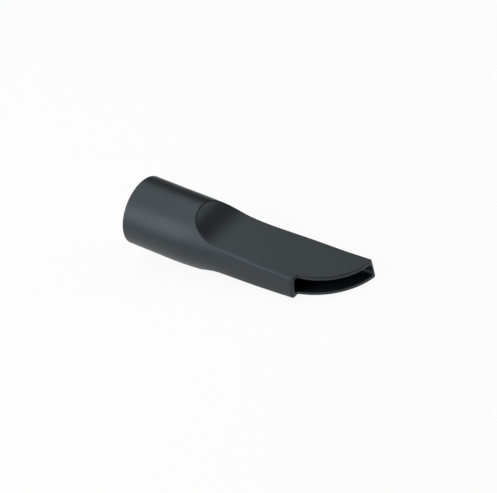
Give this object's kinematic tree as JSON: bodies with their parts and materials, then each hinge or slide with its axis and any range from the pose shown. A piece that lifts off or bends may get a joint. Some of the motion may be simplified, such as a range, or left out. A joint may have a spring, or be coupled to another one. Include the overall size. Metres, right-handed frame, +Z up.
{
  "type": "vacuum crevice nozzle",
  "caption": "Crevice nozzle moulded in one piece: a round socket tube that runs through hollow scoops into a flat blade with a skewed, curved mouth.",
  "frame": {"origin": "middle of the bottom of the bounding box of the nozzle as it lies at rest", "axes": "+X along the nozzle from the socket to the tip, +Y to the side that the mouth leans to, +Z up from the table"},
  "size_m": [0.1348, 0.0438, 0.0443],
  "materials": {
    "body": "fine moulded texture, soft sheen"
  },
  "bodies": {
    "root": {"crevice_nozzle": "body"}
  },
  "joints": []
}
